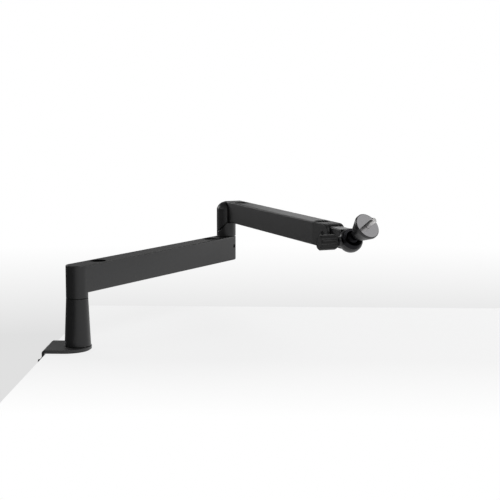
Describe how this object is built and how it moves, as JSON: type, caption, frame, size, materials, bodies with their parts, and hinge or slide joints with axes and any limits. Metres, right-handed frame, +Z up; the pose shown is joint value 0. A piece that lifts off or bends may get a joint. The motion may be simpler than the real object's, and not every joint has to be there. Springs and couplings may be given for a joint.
{
  "type": "microphone boom arm",
  "caption": "Low two-section desk arm for a microphone: edge clamp and column, swivelling channel arm, tilting upper arm with lift-off cable covers, lockable ball head with a threaded stud.",
  "frame": {"origin": "on the desk top, on the axis of the column that the lower arm turns on", "axes": "+Z up from the desk, +X in from the desk edge, +Y along the desk edge"},
  "size_m": [0.3864, 0.3669, 0.2757],
  "materials": {
    "arm_paint": "satin charcoal powder coat",
    "cover_paint": "satin charcoal powder coat",
    "clamp_paint": "satin charcoal powder coat on steel",
    "joint_paint": "satin dark coat on a cast joint",
    "cap_plastic": "fine matte moulded nylon",
    "knob_plastic": "matte moulded grip",
    "bush_nylon": "plain natural nylon",
    "washer_plastic": "plain black plastic",
    "black_rubber": "soft matte",
    "plate_alloy": "fine satin grey face",
    "black_steel": "black oxide",
    "bright_steel": "turned, bright zinc",
    "stud_chrome": "bright plated",
    "magnet_nickel": "nickel plated"
  },
  "bodies": {
    "base": {"clamp_plate": "clamp_paint", "plate_pad": "black_rubber", "clamp_jaw": "clamp_paint", "jaw_bolts": "black_steel", "jaw_nut": "bright_steel", "column": "joint_paint", "column_foot_ring": "washer_plastic", "column_screws": "bright_steel", "column_bush_lower": "bush_nylon", "column_bush_upper": "bush_nylon", "swivel_washer": "washer_plastic"},
    "clamp_pad": {"pressure_plate": "bright_steel", "pressure_pad": "black_rubber"},
    "clamp_screw": {"clamp_screw": "bright_steel", "clamp_handle": "knob_plastic", "handle_screw": "black_steel"},
    "lower_arm": {"lower_arm": "arm_paint", "base_spindle": "bright_steel", "lower_arm_magnets": "magnet_nickel", "elbow_bush": "bush_nylon", "elbow_set_screw": "black_steel", "elbow_washer": "washer_plastic"},
    "lower_cover": {"lower_cable_cover": "cover_paint", "lower_cover_strikes": "bright_steel"},
    "elbow": {"elbow_post": "arm_paint", "elbow_retainer": "bright_steel", "elbow_bolt": "black_steel", "tilt_bolt": "bright_steel"},
    "upper_arm": {"upper_arm": "arm_paint", "tilt_friction_washer": "washer_plastic", "tilt_bush": "bush_nylon", "tilt_springs": "bright_steel", "tilt_cap": "cap_plastic", "upper_arm_magnets": "magnet_nickel", "end_cap": "cap_plastic", "end_cap_screws": "black_steel", "neck_bolt": "black_steel", "ball_housing": "joint_paint", "ball_retaining_ring": "black_steel"},
    "upper_cover": {"upper_cable_cover": "cover_paint", "upper_cover_strikes": "bright_steel"},
    "ball_cup": {"ball_seat": "bush_nylon"},
    "ball": {"ball_stem": "black_steel"},
    "platform": {"mount_disc": "joint_paint", "disc_plate": "plate_alloy", "mount_stud": "stud_chrome"},
    "lock_knob": {"lock_knob": "knob_plastic", "lock_knob_cap": "cap_plastic", "lock_screw": "bright_steel"},
    "brake_shoe": {"brake_shoe": "bush_nylon"}
  },
  "joints": [
    {"name": "base_swivel", "type": "hinge", "parent": "base", "child": "lower_arm", "pos_m": [0, 0, 0.0608], "axis": [0, 0, 1], "continuous": true},
    {"name": "elbow_swivel", "type": "hinge", "parent": "lower_arm", "child": "elbow", "pos_m": [0.15529, 0.28721, 0.0985], "axis": [0, 0, 1], "continuous": true},
    {"name": "elbow_tilt", "type": "hinge", "parent": "elbow", "child": "upper_arm", "pos_m": [0.15529, 0.28721, 0.1321], "axis": [-0.9063, -0.4226, 0], "range_deg": [-5, 90]},
    {"name": "lower_cover_lift", "type": "slide", "parent": "lower_arm", "child": "lower_cover", "axis": [0, 0, 1], "range_m": [0, 0.03]},
    {"name": "upper_cover_lift", "type": "slide", "parent": "upper_arm", "child": "upper_cover", "axis": [0, 0, 1], "range_m": [0, 0.03]},
    {"name": "ball_pan", "type": "hinge", "parent": "upper_arm", "child": "ball_cup", "pos_m": [0.31242, -0.02681, 0.1313], "axis": [0.3462, -0.7424, 0.5736], "continuous": true},
    {"name": "ball_tilt", "type": "hinge", "parent": "ball_cup", "child": "ball", "pos_m": [0.31242, -0.02681, 0.1313], "axis": [-0.3144, 0.4842, 0.8165], "range_deg": [-37.9, 11.7]},
    {"name": "platform_spin", "type": "hinge", "parent": "ball", "child": "platform", "pos_m": [0.32317, -0.03917, 0.14277], "axis": [0.5374, -0.6182, 0.5736], "continuous": true},
    {"name": "lock_knob_turn", "type": "hinge", "parent": "upper_arm", "child": "lock_knob", "pos_m": [0.2875, -0.03725, 0.13055], "axis": [0.9063, 0.4226, 0], "range_deg": [-90, 90]},
    {"name": "brake_shoe_slide", "type": "slide", "parent": "upper_arm", "child": "brake_shoe", "axis": [0.9063, 0.4226, 0], "range_m": [-0.000251, 0.000251]},
    {"name": "clamp_pad_slide", "type": "slide", "parent": "base", "child": "clamp_pad", "axis": [0, 0, 1], "range_m": [-0.035, 0.01]},
    {"name": "clamp_screw_turn", "type": "hinge", "parent": "clamp_pad", "child": "clamp_screw", "pos_m": [-0.0095, 0, -0.07], "axis": [0, 0, 1], "range_deg": [-8405, 2405]}
  ],
  "couplings": [
    {"joint": "clamp_screw_turn", "follows": "clamp_pad_slide", "rad_per_m": 4188.8},
    {"joint": "brake_shoe_slide", "follows": "lock_knob_turn", "m_per_rad": 0.00015915}
  ]
}
